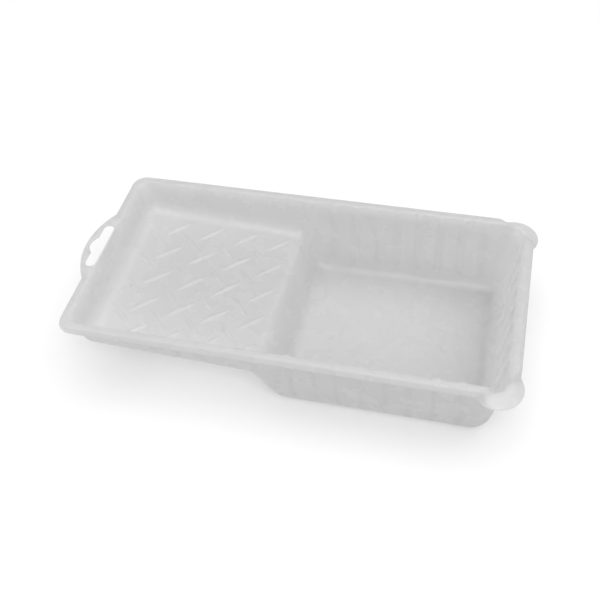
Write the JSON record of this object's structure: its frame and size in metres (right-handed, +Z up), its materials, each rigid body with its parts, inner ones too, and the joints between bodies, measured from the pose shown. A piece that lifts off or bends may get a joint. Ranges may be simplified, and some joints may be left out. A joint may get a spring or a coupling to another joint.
{
  "type": "paint roller tray",
  "caption": "Shallow one-piece plastic tray for a mini paint roller: ribbed deep well, ramp with a raised tread, rolled rim, pouring corners and a hanging tab.",
  "frame": {"origin": "centre of the overall box in plan, on the surface the tray stands on, which is the underside of the well floor", "axes": "+X along the tray from the hang tab to the deep well, +Y across it to the rear long wall, +Z up out of the tray"},
  "size_m": [0.29, 0.1536, 0.0555],
  "materials": {
    "polypropylene": "natural translucent, satin"
  },
  "bodies": {
    "root": {"corner_lip_front": "polypropylene", "corner_lip_rear": "polypropylene", "hang_tab": "polypropylene", "ramp_corner_front": "polypropylene", "ramp_corner_rear": "polypropylene", "ramp_deck": "polypropylene", "ramp_drop": "polypropylene", "ramp_end_wall": "polypropylene", "ramp_front_wall": "polypropylene", "ramp_rear_wall": "polypropylene", "rim_corner_front": "polypropylene", "rim_corner_rear": "polypropylene", "rim_end": "polypropylene", "rim_front": "polypropylene", "rim_rear": "polypropylene", "tread_ridges": "polypropylene", "well_corner_front": "polypropylene", "well_corner_rear": "polypropylene", "well_end_wall": "polypropylene", "well_floor": "polypropylene", "well_front_wall": "polypropylene", "well_rear_wall": "polypropylene"}
  },
  "joints": []
}
